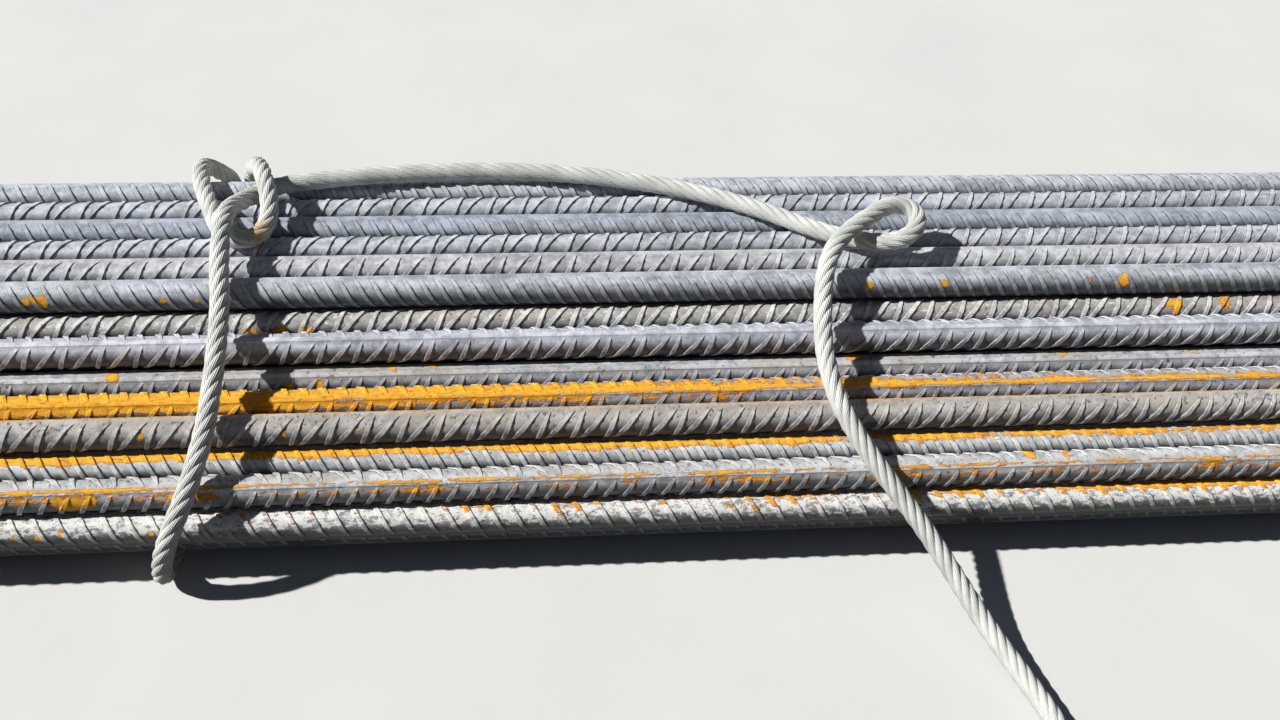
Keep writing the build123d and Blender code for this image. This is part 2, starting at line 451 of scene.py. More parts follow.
# %% Strand surfaces
STRANDS = 6
LAY_LENGTH = 0.058
STRAND_RADIUS = 0.0025
HELIX_RADIUS = ROPE_DIAMETER / 2 - STRAND_RADIUS
STRAND_POINTS = 10
RING_SPACING = 0.0028


def carried_frame(points):
    """The line's direction, and two directions square to it that don't spin round it.
    Each step removes from the last side direction the part that lies along the new tangent."""
    tangent = np.gradient(points, axis=0)
    tangent /= np.linalg.norm(tangent, axis=1)[:, None]
    side = np.empty_like(points)
    start = np.eye(3)[np.argmin(np.abs(tangent[0]))]
    for i in range(len(points)):
        start = start - tangent[i] * (start @ tangent[i])
        start = start / np.linalg.norm(start)
        side[i] = start
    return tangent, side, np.cross(tangent, side)


def strand_rings(points, along, phase, helix_radius, radius):
    """Rings of one strand: a helix of that radius round the line, one turn for each lay length,
    with a circle square to the helix at every point."""
    tangent, side, other = carried_frame(points)
    turn = (phase + 2 * np.pi * along / LAY_LENGTH)[:, None]
    outward = np.cos(turn) * side + np.sin(turn) * other
    sideways = -np.sin(turn) * side + np.cos(turn) * other
    direction = tangent + sideways * (2 * np.pi * helix_radius / LAY_LENGTH)
    direction /= np.linalg.norm(direction, axis=1)[:, None]
    across = np.cross(direction, outward)
    angle = np.linspace(0, 2 * np.pi, STRAND_POINTS, endpoint=False)[None, :, None]
    middle = points + helix_radius * outward
    # The circle runs against the clock as seen from the line's end, which faces it outwards.
    circle = np.cos(angle) * outward[:, None] - np.sin(angle) * across[:, None]
    return middle[:, None] + radius * circle


def rope_piece(name, line, material):
    """A rope of six strands and a core round a line, with a UV map for the wires."""
    points, along = even_steps(line, RING_SPACING)
    phases = 2 * np.pi * np.arange(STRANDS) / STRANDS
    rings = [strand_rings(points, along, phase, HELIX_RADIUS, STRAND_RADIUS) for phase in phases]
    rings.append(strand_rings(points, along, 0.0, 0.0, STRAND_RADIUS))
    rings = np.stack(rings)
    made = piece(name, [(*closed_tubes(rings), {})], material)
    wire_uv(made, along, rings.shape[0], rings.shape[2])
    return made, points


def wire_uv(made, along, tubes, around):
    """The UV map of the strands: U is the distance along the rope, V the turn round the strand.
    It is filled face corner by face corner, so that V can reach 1 at the seam."""
    turn = np.arange(around) / around
    after = turn + 1 / around
    low, high = along[:-1, None], along[1:, None]
    corners = [(low, turn), (high, turn), (high, after), (low, after)]
    quads = np.stack([np.stack(np.broadcast_arrays(u, v[None, :]), -1) for u, v in corners], axis=2)
    quads = np.broadcast_to(quads, (tubes,) + quads.shape)
    caps = np.zeros((tubes * around * 2 * 3, 2))
    places = np.concatenate([quads.reshape(-1, 2), caps]).astype(np.float32)
    layer = made.data.uv_layers.new(name="wires")
    layer.data.foreach_set("uv", places.ravel())


# %% [markdown]
# ## The rope's finish
#
# Zinc-coated wire goes a dull, pale grey-green in the weather, and dirt settles between the
# wires and between the strands. The wires are a bump: across the strand each one is half a
# circle, and the pattern slants so that the wires run along the rope. The colour follows the
# same pattern, darker in the grooves between the wires: partly that dirt, partly painted shade.

# %% Rope material
WIRES_IN_STRAND = 14
ROPE_PALE = (0.77, 0.78, 0.75, 1.0)
ROPE_GREY = (0.58, 0.59, 0.56, 1.0)
ROPE_GROOVE_DIRT_AND_SHADE = (0.16, 0.16, 0.145, 1.0)
ROPE_CREAM = (0.80, 0.74, 0.56, 1.0)
ROPE_STAIN = (0.70, 0.38, 0.06, 1.0)
STAIN_PLACE = (-0.243, 0.037, 0.131)

rope_wire, tree, shader = new_material("rope_wire")
wire_map = tree.nodes.new("ShaderNodeUVMap")
wire_map.uv_map = "wires"
split = tree.nodes.new("ShaderNodeSeparateXYZ")
tree.links.new(wire_map.outputs["UV"], split.inputs[0])
wire_slant = HELIX_RADIUS / (LAY_LENGTH * STRAND_RADIUS)
slanted = times_plus(tree, split.outputs["X"], -wire_slant, split.outputs["Y"])
wire_phase = times(tree, slanted, WIRES_IN_STRAND * math.pi)
wire_crown = math_node(tree, "ABSOLUTE", math_node(tree, "SINE", wire_phase))

place = scaled_coordinates(tree)
weathering = noise(tree, place, 60.0, 5.0)
pale = mix_colour(tree, step_between(tree, weathering, 0.35, 0.65), ROPE_GREY, ROPE_PALE)
dust = speckles(tree, place, 520.0, 0.44)
dusted = mix_colour(tree, times(tree, dust, 0.55), pale, ROPE_GREY)
# The grooves between the wires are darkened: partly dirt, partly painted shade.
groove_dirt_and_shade = mix_colour(tree, step_between(tree, wire_crown, 0.05, 0.55), ROPE_GROOVE_DIRT_AND_SHADE, dusted)
soft_groove_dirt_and_shade = mix_colour(tree, 0.5, dusted, groove_dirt_and_shade)

both_places = {0: place, 1: STAIN_PLACE}
from_stain = add_node(tree, "VectorMath", both_places, out="Value", operation="DISTANCE")
stain_edge = times_plus(tree, weathering, 0.016, from_stain)
stain = times(tree, step_between(tree, stain_edge, 0.021, 0.013), wire_crown)
stain_tone = step_between(tree, weathering, 0.44, 0.56)
stain_colour = mix_colour(tree, stain_tone, ROPE_CREAM, ROPE_STAIN)
wire_bump = {"Strength": 0.8, "Distance": 0.0004, "Height": wire_crown}
fill(tree, shader, {
    "Base Color": mix_colour(tree, stain, soft_groove_dirt_and_shade, stain_colour),
    "Specular IOR Level": 0.25,
    "Roughness": 0.55,
    "Normal": add_node(tree, "Bump", wire_bump),
})
print("rope finish:", WIRES_IN_STRAND, "wires in a strand")

# %% Make the ropes
for name, line in rope_lines.items():
    made, followed = rope_piece(name + "_strands", line, rope_wire)
    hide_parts(name)
    print(f"{name}: {triangle_count(made)} triangles")

# %% [markdown]
# ## The ferrules
#
# Each eye is closed by a pressed aluminium sleeve. Pressing leaves its ends a little tapered
# and a thin flash line on two sides. The sleeve is a profile turned about its axis, with the
# flash added to the radius at two angles.

# %% Ferrules
FLASH_HEIGHT = 0.0004
FLASH_WIDTH = 0.07
FLASH_FROM = 0.9
FERRULE_POINTS = 64
FERRULE_PROFILE = [
    (0.0, 0.62), (0.0, 0.80), (0.02, 0.87), (0.07, 0.915), (0.15, 0.95), (0.24, 0.965),
    (0.5, 0.968), (0.76, 0.965), (0.85, 0.95), (0.93, 0.915), (0.98, 0.87), (1.0, 0.80),
    (1.0, 0.62),
]
SLEEVE_DARK = (0.36, 0.35, 0.32, 1.0)
SLEEVE_PALE = (0.58, 0.57, 0.53, 1.0)
SLEEVE_NICK = (0.16, 0.15, 0.13, 1.0)


def ferrule_rings(node, axis):
    """Rings of a sleeve that fills its node's box: the profile's share of the half width, with a
    narrow rise at two opposite angles for the flash, along the given axis."""
    low, high = (np.array(corner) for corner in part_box(node))
    middle = (low + high) / 2
    one, two = [i for i in range(3) if i != axis]
    half = (high[one] - low[one]) / 2
    share = np.array(FERRULE_PROFILE)
    angle = np.linspace(0, 2 * np.pi, FERRULE_POINTS, endpoint=False)
    flash = FLASH_HEIGHT * np.exp(-((np.sin(angle) / FLASH_WIDTH) ** 2))
    radius = share[:, 1:] * half + flash[None, :] * (share[:, 1:] > FLASH_FROM)
    rings = np.empty((1, len(share), len(angle), 3))
    rings[0, :, :, axis] = low[axis] + share[:, :1] * (high[axis] - low[axis])
    rings[0, :, :, one] = middle[one] + radius * np.cos(angle)
    rings[0, :, :, two] = middle[two] - radius * np.sin(angle)
    return rings


sleeve_aluminium, tree, shader = new_material("sleeve_aluminium")
place = scaled_coordinates(tree)
handled = noise(tree, place, 160.0, 6.0)
nicks = speckles(tree, place, 700.0, 0.36)
sleeve_dull = mix_colour(tree, step_between(tree, handled, 0.3, 0.7), SLEEVE_DARK, SLEEVE_PALE)
sleeve_relief = math_node(tree, "SUBTRACT", handled, nicks)
sleeve_bump = {"Strength": 0.5, "Distance": 0.0003, "Height": sleeve_relief}
fill(tree, shader, {
    "Base Color": mix_colour(tree, times(tree, nicks, 0.6), sleeve_dull, SLEEVE_NICK),
    "Metallic": 0.7,
    "Roughness": step_between(tree, handled, -0.4, 1.5),
    "Normal": add_node(tree, "Bump", sleeve_bump),
})

for node, axis in (("choke_ferrule", 2), ("end_ferrule", 0)):
    parts = [(*closed_tubes(ferrule_rings(node, axis)), {})]
    piece(node + "_sleeve", parts, sleeve_aluminium)
    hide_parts(node)

# %% [markdown]


# %% [markdown]
# ## The bars' places
#
# The bars lie as round bars do, each in the hollow between two below it, and each layer is a
# row of places one pitch apart. The bundle is slightly cambered over the rope, so every bar
# is an arc of one very large circle, and its ends are drawn a few millimetres out of line
# with the same random numbers as in the CAD source.

# %% Bar places
BAR_DIAMETER = 0.020
BAR_LENGTH = 6.0
BAR_PITCH = 0.0209
END_STAGGER = 0.014
CAMBER_RADIUS = 520.003
MIDDLE_UNDERSIDE = 0.0123
LAYERS = [(-5.5, 4.5), (-6, 5), (-5.5, 5.5), (-4, 6), (-1.5, 5.5), (0, 5)]

draw = random.Random(6)
bars = []
for layer, (first, last) in enumerate(LAYERS):
    for step in range(round(last - first) + 1):
        shift = draw.uniform(-END_STAGGER, END_STAGGER)
        bars.append({"layer": layer, "place": first + step, "shift": shift})
middle_shift = (max(bar["shift"] for bar in bars) + min(bar["shift"] for bar in bars)) / 2
for bar in bars:
    bar["shift"] -= middle_shift
    bar["y"] = bar["place"] * BAR_PITCH
    bar["z"] = MIDDLE_UNDERSIDE + BAR_DIAMETER / 2 + bar["layer"] * BAR_PITCH * math.sqrt(3) / 2


def drop(x):
    """How much lower the cambered bars lie at x than in the middle: x squared over twice the
    radius of the camber."""
    return x**2 / (2 * CAMBER_RADIUS)


for layer in range(len(LAYERS)):
    _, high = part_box(f"bars_layer_{layer + 1}")
    row = [bar for bar in bars if bar["layer"] == layer]
    reach = max(bar["shift"] for bar in row) + BAR_LENGTH / 2
    print(f"layer {layer + 1}: {len(row)} bars, ends {high.x:.4f} in the frame, {reach:.4f} here")

# %% [markdown]
# ## What each bar shows
#
# A ribbed bar has two seams, the longitudinal ribs, and two faces between them. One face has
# even ribs, all at 60 degrees. The ribs of the other face come in pairs, one steep and one
# flat, and lean the other way. How a bar happens to be rolled decides which face shows, so
# each bar that the photograph shows gets its own roll, rib pitch, tint and rust. An angle on
# a bar is 0 at the front and 90 on top.

# %% Bar looks
SCALE_BLUE = (0.46, 0.49, 0.55)
SCALE_DEEP = (0.35, 0.39, 0.46)
SCALE_GREY = (0.48, 0.495, 0.53)
SCALE_LILAC = (0.50, 0.52, 0.60)
SCALE_BROWN = (0.45, 0.43, 0.415)
SCALE_DUSTY = (0.40, 0.39, 0.38)
SCALE_WORN = (0.36, 0.365, 0.38)
SCALE_SILVER = (0.58, 0.60, 0.62)

# roll is the angle of the middle of the even face, pitch the distance between even ribs, and
# lean 1 where the even ribs lean to the right. A rust stripe is (angle, half width, strength
# at the left, strength at the right of the photographed stretch). A rust spot is (place along
# the bar, angle, half size, strength), in millimetres and degrees. Dots is rust on the ribs'
# crests, the polish is how bright the crests are, rubbed and with a painted highlight, scuff is
# pale chips, and grime is brown dust.
SHOWN_BARS = {
    (5, 5): {"roll": 50, "pitch": 10.8, "tint": SCALE_BLUE, "polish_and_glint": 0.4},
    (5, 4): {"roll": 255, "pitch": 11.1, "tint": SCALE_BLUE, "polish_and_glint": 0.8},
    (5, 3): {"roll": 28, "pitch": 10.5, "tint": SCALE_DEEP, "polish_and_glint": 0.3},
    (5, 2): {"roll": 255, "pitch": 11.1, "tint": SCALE_BLUE, "polish_and_glint": 0.8},
    (5, 1): {"roll": 208, "pitch": 11.2, "tint": SCALE_GREY},
    (5, 0): {
        "roll": 20, "pitch": 9.9, "tint": SCALE_BLUE, "polish_and_glint": 0.4, "dots": 0.06, "scuff": 0.1,
        "spots": [
            (-368, 19, 3.1, 1.3), (-377, 20, 1.9, 1.0), (-296, 15, 2.2, 0.9), (-276, 13, 1.6, 0.8),
            (146, 28, 2.2, 0.9), (195, 34, 2.4, 1.0), (316, 36, 3.1, 1.3), (292, 34, 1.9, 0.7),
        ],
    },
    (4, -0.5): {
        "roll": 235, "pitch": 10.5, "tint": SCALE_DUSTY, "polish_and_glint": 1.5, "dots": 0.14,
        "scuff": 0.6, "grime": 0.35,
        "spots": [
            (-246, 10, 3.7, 1.0), (-228, 8, 4.3, 0.9), (-211, 10, 3.1, 0.9), (352, 60, 5.6, 0.6),
            (388, 70, 5.0, 0.6),
        ],
    },
    (4, -1.5): {"roll": 165, "pitch": 10.9, "tint": SCALE_LILAC, "grime": -0.5},
    (3, -2): {
        "roll": 154, "pitch": 10.4, "tint": SCALE_GREY, "dots": 0.06, "scuff": 0.35, "grime": 0.45,
        "spots": [
            (-325, 76, 3.1, 0.8), (272, 98, 2.5, 0.9), (-158, 94, 2.5, 0.9), (-133, 100, 2.2, 0.8),
            (-220, 22, 2.5, 0.9), (-202, 24, 2.5, 0.9), (133, 100, 5.6, 0.6),
            (360, 100, 5.0, 0.6), (300, 112, 2.5, 0.9),
        ],
    },
    (3, -3): {
        "roll": 154, "pitch": 11.7, "tint": SCALE_LILAC, "dots": 0.12, "grime": 0.7,
        "rust": [(72, 16, 1.3, 0.62), (95, 46, 1.25, 0.16), (42, 24, 1.2, -0.2)],
    },
    (3, -4): {
        "roll": 198, "pitch": 10.4, "tint": SCALE_BROWN, "dots": 0.08, "scuff": 0.2, "grime": 0.5,
        "rust": [(122, 15, 1.2, 1.1)],
        "spots": [
            (-300, 37, 1.9, 0.9), (-218, 24, 1.9, 0.8), (-175, 38, 1.6, 0.8), (-96, 33, 2.5, 0.8),
        ],
    },
    (2, -4.5): {
        "roll": 48, "pitch": 9.9, "tint": SCALE_SILVER, "scuff": 0.3, "dots": 0.06, "grime": 0.3,
        "rust": [(88, 24, 1.15, 0.58)],
    },
    (2, -5.5): {
        "roll": -30, "pitch": 11.6, "tint": SCALE_SILVER, "lean": 1, "grime": 0.4, "dots": 0.14,
        "rust": [(63, 8, 0.75, 0.5), (32, 22, 0.50, 0.40)],
        "spots": [
            (-336, 10, 4.3, 1.0), (-326, 22, 3.7, 1.0), (-343, 24, 3.1, 0.9), (232, 100, 3.7, 0.7),
            (255, 100, 3.1, 0.7),
        ],
    },
    (1, -6): {
        "roll": 50, "pitch": 13.0, "tint": SCALE_WORN, "scuff": 1.15, "dots": 0.24, "grime": 0.6,
        "rust": [(98, 26, 0.12, 0.74)],
        "spots": [
            (-369, 30, 1.9, 0.9), (-356, 27, 1.9, 0.9), (-343, 33, 1.9, 0.9), (-293, 25, 1.9, 0.9),
        ],
    },
    (0, -5.5): {
        "roll": 40, "pitch": 12.0, "tint": SCALE_BROWN, "grime": 0.8,
        "rust": [(100, 20, 0.4, 0.4)],
    },
}
TINTS = [SCALE_BLUE, SCALE_GREY, SCALE_LILAC, SCALE_BROWN]
STRIPE_RANGES = ((60, 150), (8, 22), (0.1, 0.8), (0.1, 0.8))
CLEAN_BAR = {"rust": [], "dots": 0.0, "scuff": 0.0, "grime": -0.15}

draw = random.Random(11)
for bar in bars:
    bar.update({
        "roll": draw.uniform(0, 360),
        "pitch": draw.uniform(10.8, 12.4),
        "tint": draw.choice(TINTS),
        "rust": [tuple(draw.uniform(*limits) for limits in STRIPE_RANGES)],
        "dots": draw.uniform(0.0, 0.3),
        "scuff": draw.uniform(0.0, 0.4),
        "grime": draw.uniform(0.1, 0.6),
        "phase": draw.uniform(0.0, 1.0),
        "lean": -1,
        "polish_and_glint": 1.0,
        "spots": [],
    })
    looks = SHOWN_BARS.get((bar["layer"], bar["place"]))
    bar["shown"] = looks is not None
    if looks:
        bar.update(CLEAN_BAR)
        bar.update(looks)
print(sum(bar["shown"] for bar in bars), "of", len(bars), "bars show in the photograph")

# %% [markdown]
# ## Bar cores
#
# The core is a tube whose radius depends only on the angle: 9.1 mm, and a low flat ridge at
# each seam. The angles are spaced to put six points on each ridge and ten between them. A
# ring leans with the camber, square to the bar.
#
# What the finish needs to know, such as where rust lies, is worked out for each point and
# kept in two attributes of the mesh. The tint holds painted shade: it is darker towards the
# undersides, where the bars shade each other.

# %% Cores
CORE_RADIUS = 0.0091
SEAM_HEIGHT = 0.00115
SEAM_OFFSETS = np.array([-2.3, -1.35, -0.5, 0.5, 1.35, 2.3]) * MILLIMETRE
SEAM_SHARES = np.array([0.0, 0.86, 1.0, 1.0, 0.86, 0.0])
BETWEEN_SEAMS = 10
SEAM_CREST = 0.35
VIEW_REACH = 0.52
VIEW_RINGS = 29
HIDDEN_RINGS = 5
END_RINGS = 10
SPOT_OFFSETS = np.linspace(-2.0, 2.0, 9)
RUST_REACH = 0.42
RUST_EVERYWHERE = 0.05
STRIPE_EDGE = 1.35
SPOT_EDGE = 1.7
DOTS_BELOW = 0.2
SCUFF_TURN = 0.2
SCUFF_BELOW = 0.5
# Painted shade: towards the undersides the tint goes down to this share of the bar's own.
UNDERSIDE_PAINTED_SHADE = 0.20
CREVICE_DUST = 0.8
# Where the painted shade of the undersides and the dust on top start and how far they run, in the
# sine of the angle.
SHADE_AND_DUST_FROM = 0.14
SHADE_AND_DUST_OVER = 0.74


def on_bar(bar, x, radius, angle):
    """A point of a bar: out from its cambered axis by the radius, at the angle from the front,
    in the section that is square to the axis at x."""
    rise = radius * np.sin(angle)
    out_x = x + rise * x / CAMBER_RADIUS
    out_y = bar["y"] - radius * np.cos(angle)
    out_z = bar["z"] - drop(x) + rise
    return np.stack(np.broadcast_arrays(out_x, out_y, out_z), axis=-1)


def section_angles(roll):
    """Angles round a bar and the share of the seam's height at each, for both halves."""
    seam = SEAM_OFFSETS / CORE_RADIUS
    gap = np.linspace(seam[-1], np.pi + seam[0], BETWEEN_SEAMS + 2)[1:-1]
    half = np.concatenate([seam, gap])
    share = np.concatenate([SEAM_SHARES, np.zeros(BETWEEN_SEAMS)])
    start = math.radians(roll) + np.pi / 2
    return start + np.concatenate([half, half + np.pi]), np.tile(share, 2)


def angle_between(angle, middle):
    """How far an angle is from another, in radians, the short way round."""
    return np.abs((angle - middle + np.pi) % (2 * np.pi) - np.pi)


def shade_and_dust_share(angle):
    """How far towards the top a point of a bar lies, for the painted shade of the undersides and
    for the dust on top: with the sine of the angle it goes smoothly from 0, low on the sides, to
    1 near the top."""
    share = np.clip((np.sin(angle) - SHADE_AND_DUST_FROM) / SHADE_AND_DUST_OVER, 0.0, 1.0)
    return share**2 * (3.0 - 2.0 * share)


def wear_and_painted_light_of(bar, x, angle, crest):
    """Rust coverage, scuffing, crest and grime of a bar's points. A rust stripe fades over its
    half width from its middle angle, and its strength goes from left to right along the bar. A
    spot fades with the distance from its middle, over the surface. Dust lies on the upper side
    only. The crests are as bright as the bar's polish, which is rubbed wear with a painted
    highlight, and the feet of the ribs keep their negative value for dirt and painted shade."""
    x, angle, crest = np.broadcast_arrays(x, angle, crest)
    share = np.clip((x + RUST_REACH) / (2 * RUST_REACH), 0.0, 1.0)
    rust = np.full(x.shape, RUST_EVERYWHERE)
    for middle, half, left, right in bar["rust"]:
        away = angle_between(angle, math.radians(middle)) / math.radians(half)
        fade = np.clip(STRIPE_EDGE - away, 0.0, 1.0)
        rust = np.maximum(rust, fade * (left + (right - left) * share))
    for place, middle, size, strength in bar["spots"]:
        away = CORE_RADIUS * angle_between(angle, math.radians(middle))
        distance = np.hypot(x - place * MILLIMETRE, away) / (size * MILLIMETRE)
        rust = np.maximum(rust, strength * np.clip(SPOT_EDGE - distance, 0.0, 1.0))
    upward = np.clip(np.sin(angle) + DOTS_BELOW, 0.0, 1.0)
    rust = rust + bar["dots"] * np.clip(crest, 0.0, 1.0) * upward
    scuff = bar["scuff"] * np.clip(np.sin(angle - SCUFF_TURN) + SCUFF_BELOW, 0.0, 1.0)
    # The crests' brightness: rubbed wear and a painted highlight; the feet stay negative.
    rub_glint_and_foot_shade = np.where(crest > 0.0, crest * bar["polish_and_glint"], crest)
    grime = bar["grime"] - CREVICE_DUST * (1.0 - shade_and_dust_share(angle))
    return np.stack([rust, scuff, rub_glint_and_foot_shade, grime], axis=-1)


def attributes_of(bar, wear, angle):
    """The two attributes of a bar's points: its wear, and its tint. The tint carries painted
    shade: it goes from a share of the bar's own tint on the undersides to all of it near the top."""
    flat = np.stack([with_ends(wear[..., i]) for i in range(4)], axis=1)
    painted_shade = UNDERSIDE_PAINTED_SHADE + (1.0 - UNDERSIDE_PAINTED_SHADE) * shade_and_dust_share(angle)
    tint = np.ones((len(flat), 4))
    tint[:, :3] = bar["tint"]
    # The tint is darkened towards the undersides: painted shade.
    tint[:, :3] *= with_ends(np.broadcast_to(painted_shade, wear.shape[:-1]))[:, None]
    return {"wear": flat, "tint": tint}


def core_part(bar):
    """A bar's core, with more rings in the photographed stretch of the bars that show."""
    half = BAR_LENGTH / 2
    stretch = np.concatenate([
        np.linspace(-half, -VIEW_REACH, END_RINGS)[:-1],
        np.linspace(-VIEW_REACH, VIEW_REACH, VIEW_RINGS if bar["shown"] else HIDDEN_RINGS),
        np.linspace(VIEW_REACH, half, END_RINGS)[1:],
    ])
    x = stretch + bar["shift"]
    for place, _, size, _ in bar["spots"]:
        x = np.union1d(x, (place + size * SPOT_OFFSETS) * MILLIMETRE)
    angle, share = section_angles(bar["roll"])
    radius = CORE_RADIUS + SEAM_HEIGHT * share
    rings = on_bar(bar, x[:, None], radius[None, :], angle[None, :])[None]
    angle = angle[None, None, :]
    wear = wear_and_painted_light_of(bar, x[None, :, None], angle, SEAM_CREST * share[None, None, :])
    return (*closed_tubes(rings), attributes_of(bar, wear, angle))


# %% [markdown]
# ## Ribs
#
# A transverse rib is a sickle: highest in the middle of its face, and gone at the seams. It
# is a small closed tube laid over the core. Its middle line climbs round the face while it
# moves along the bar, so that it leans by its angle; its height is a power of one less the
# square of the place along it. Thousands of ribs are one array: the first axis counts ribs.
#
# On the bars that show, the ribs near the camera have seven rings of four points. Elsewhere
# five rings of three points are enough, and a face that lies against other bars has none.

# %% Rib surfaces
RIB_HEIGHT = 0.00135
RIB_WIDTH = 0.0043
# The value at a rib's feet, which darkens them: dirt and painted shade.
RIB_FOOT_DIRT_AND_SHADE = -2.2
RIB_SINK = 0.0004
FACE_SPAN = math.radians(76)
EVEN_ANGLE = math.radians(60)
STEEP_ANGLE = math.radians(67)
FLAT_ANGLE = math.radians(48)
STEEP_PLACE = 0.58
FACE_SIGHT = math.radians(87)
SICKLE_POWER = 0.7
TIP_WIDTH = 0.45
FINE_SECTION = np.array([(1.0, 0.0), (0.56, 1.0), (-0.56, 1.0), (-1.0, 0.0)])
PLAIN_SECTION = np.array([(1.0, 0.0), (0.0, 1.0), (-1.0, 0.0)])
NEIGHBOURS = {
    0: (0, -1), 60: (1, -0.5), 120: (1, 0.5), 180: (0, 1), 240: (-1, 0.5), 300: (-1, -0.5),
}
occupied = {(bar["layer"], bar["place"]) for bar in bars}


def rib_part(bar, starts, lean_angle, lean, face, along, section):
    """All ribs of one slant on one face of a bar. Along a rib, t goes from -1 to 1: the angle is
    the face's middle plus t times its span, x moves by the arc over the tangent of the lean,
    and the height is the rib's height times (1 - t squared) to the power SICKLE_POWER."""
    t = np.asarray(along)[None, :, None]
    swell = (1 - t**2) ** SICKLE_POWER
    angle = face + t * FACE_SPAN
    width = RIB_WIDTH / 2 * (TIP_WIDTH + (1 - TIP_WIDTH) * swell) / math.sin(lean_angle)
    slide = lean * t * FACE_SPAN * CORE_RADIUS / math.tan(lean_angle)
    across, height = section[None, None, :, 0], section[None, None, :, 1]
    x = starts[:, None, None] + slide + across * width
    radius = CORE_RADIUS - RIB_SINK + height * (RIB_SINK + RIB_HEIGHT * swell)
    rings = on_bar(bar, x, radius, angle)
    # The rib's feet get a negative crest value that darkens them: dirt and painted shade.
    wear = wear_and_painted_light_of(bar, x, angle, np.where(height > 0, height * swell, RIB_FOOT_DIRT_AND_SHADE))
    return (*closed_tubes(rings), attributes_of(bar, wear, angle))


def free_sides(bar):
    """The directions, as angles on the bar, in which it has no neighbour and no floor."""
    sides = []
    for angle, (up, across) in NEIGHBOURS.items():
        place = (bar["layer"] + up, bar["place"] + across)
        if place[0] >= 0 and place not in occupied:
            sides.append(math.radians(angle))
    return sides


def faces_out(bar, face):
    """Whether a face, given by its middle angle, can be seen past the neighbouring bars."""
    return any(angle_between(face, side) < FACE_SIGHT for side in free_sides(bar))


def ribs_between(bar, low, high, along, section):
    """The ribs of a bar whose middles lie from low to high along it, on the faces that show."""
    pitch = bar["pitch"] * MILLIMETRE
    count = int((high - low) / pitch)
    even = low + (np.arange(count) + bar["phase"]) * pitch
    pairs = low + (np.arange(count // 2) + bar["phase"]) * 2 * pitch
    face = math.radians(bar["roll"])
    lean = bar["lean"]
    parts = []
    if faces_out(bar, face):
        parts.append(rib_part(bar, even, EVEN_ANGLE, lean, face, along, section))
    if faces_out(bar, face + np.pi):
        steep = pairs + 2 * pitch * STEEP_PLACE
        parts.append(rib_part(bar, pairs, FLAT_ANGLE, -lean, face + np.pi, along, section))
        parts.append(rib_part(bar, steep, STEEP_ANGLE, -lean, face + np.pi, along, section))
    return parts


FINE_ALONG = (-0.985, -0.80, -0.45, 0.0, 0.45, 0.80, 0.985)
PLAIN_ALONG = (-0.97, -0.5, 0.0, 0.5, 0.97)
RIB_MARGIN = 0.012


def bar_parts(bar):
    """A bar's core and its ribs: fine ones near the camera, plain ones elsewhere."""
    parts = [core_part(bar)]
    low = -BAR_LENGTH / 2 + bar["shift"] + RIB_MARGIN
    high = BAR_LENGTH / 2 + bar["shift"] - RIB_MARGIN
    if bar["shown"]:
        parts += ribs_between(bar, -VIEW_REACH, VIEW_REACH, FINE_ALONG, FINE_SECTION)
        parts += ribs_between(bar, low, -VIEW_REACH, PLAIN_ALONG, PLAIN_SECTION)
        parts += ribs_between(bar, VIEW_REACH, high, PLAIN_ALONG, PLAIN_SECTION)
    else:
        parts += ribs_between(bar, low, high, PLAIN_ALONG, PLAIN_SECTION)
    return parts


# %% [markdown]
# ## The bars' finish
#
# Hot-rolled bars have a blue-grey mill scale with a dull sheen, streaked along the bar.
# Handling rubs the crests of the ribs bright and leaves dust and chips; the crests are painted
# paler still, as a painted highlight, and the feet of the ribs are painted dark, partly as dirt
# and partly as painted shade. The tint attribute also carries the painted shade of the
# undersides. Rust shows as the yellow and orange coat of the shared effect, where the bar's own
# attribute says that water stood. All patterns use Object coordinates, stretched along the bar,
# so that they run over core and ribs without a break.

# %% Bar material
# Dark colour of pits, and of the dirt and painted shade at the feet of the ribs.
PIT_AND_SHADE_DARK = (0.07, 0.062, 0.062, 1.0)
SCALE_CHIP = (0.86, 0.855, 0.83, 1.0)
# Pale crest colour: rubbed steel and a painted highlight.
RUBBED_AND_GLINT_PALE = (0.90, 0.91, 0.93, 1.0)
BROWN_DUST = (0.36, 0.315, 0.25, 1.0)

bar_steel, tree, shader = new_material("bar_steel")
wear = tree.nodes.new("ShaderNodeAttribute")
wear.attribute_name = "wear"
wear_split = tree.nodes.new("ShaderNodeSeparateColor")
tree.links.new(wear.outputs["Color"], wear_split.inputs[0])
rust_cover, scuff_cover, height_cover = wear_split.outputs
grime_cover = wear.outputs["Alpha"]
# The tint attribute holds each bar's tint with the painted shade of its undersides.
tint = tree.nodes.new("ShaderNodeAttribute")
tint.attribute_name = "tint"
place = scaled_coordinates(tree)

streaks = noise(tree, scaled_coordinates(tree, (9, 170, 170)), 1.0, 5.0)
mottle = noise(tree, place, 120.0, 6.0, 0.75)
clouds = noise(tree, scaled_coordinates(tree, (22, 60, 60)), 1.0, 3.0)
streaked = times(tree, streaks, 0.9)
mottled = times_plus(tree, step_between(tree, mottle, 0.38, 0.62), 0.50, streaked)
light = times_plus(tree, clouds, 0.55, mottled)
scale_colour = mix_colour(tree, 1.0, tint.outputs["Color"], light, blend="MULTIPLY")

